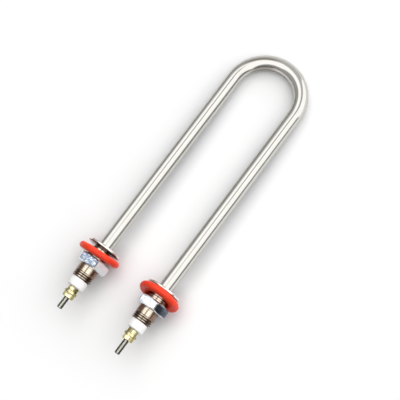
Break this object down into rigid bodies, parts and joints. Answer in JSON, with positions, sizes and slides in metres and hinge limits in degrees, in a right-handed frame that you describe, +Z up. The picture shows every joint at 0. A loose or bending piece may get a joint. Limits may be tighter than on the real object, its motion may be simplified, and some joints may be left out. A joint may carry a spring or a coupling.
{
  "type": "tubular heating element",
  "caption": "U-bent metal tube heater; each leg ends in a flanged threaded bush with a loose sealing ring, lock nut, ceramic insulator and threaded terminal pin.",
  "frame": {"origin": "on the surface it lies on, under the middle of its bounding box", "axes": "+Y along the legs towards the bend, +X from the left leg to the right one, +Z up; the legs slope down 3 degrees towards the bend, because the element lies on its two rings and the outside of its bend"},
  "size_m": [0.08, 0.2273, 0.03],
  "materials": {
    "sheath_steel": "drawn stainless tube, polished, with fine lengthwise marks",
    "bush_bronze": "turned bronze-coloured metal, bright on the crests and dark in the roots",
    "ring_silicone": "moulded orange-red silicone, soft sheen",
    "nut_zinc": "bright bluish zinc plate on steel",
    "insulator_ceramic": "white steatite, dry pressed and fired",
    "seal_resin": "poured sealing resin",
    "pin_steel": "dull nickel-plated steel, dark in the thread",
    "terminal_brass": "turned pale brass",
    "magnesia": "pressed magnesium oxide powder",
    "coil_wire": "nickel-chromium resistance wire"
  },
  "bodies": {
    "root": {"sheath_tube": "sheath_steel", "insulation_fill": "magnesia", "heating_coil": "coil_wire", "left_threaded_bush": "bush_bronze", "left_sealing_ring": "ring_silicone", "left_lock_nut": "nut_zinc", "left_ceramic_insulator": "insulator_ceramic", "left_end_seal": "seal_resin", "left_terminal_pin": "pin_steel", "left_inner_terminal_nut": "terminal_brass", "left_inner_terminal_washer": "terminal_brass", "left_outer_terminal_washer": "terminal_brass", "left_outer_terminal_nut": "terminal_brass", "right_threaded_bush": "bush_bronze", "right_sealing_ring": "ring_silicone", "right_lock_nut": "nut_zinc", "right_ceramic_insulator": "insulator_ceramic", "right_end_seal": "seal_resin", "right_terminal_pin": "pin_steel", "right_inner_terminal_nut": "terminal_brass", "right_inner_terminal_washer": "terminal_brass", "right_outer_terminal_washer": "terminal_brass", "right_outer_terminal_nut": "terminal_brass"}
  },
  "joints": []
}
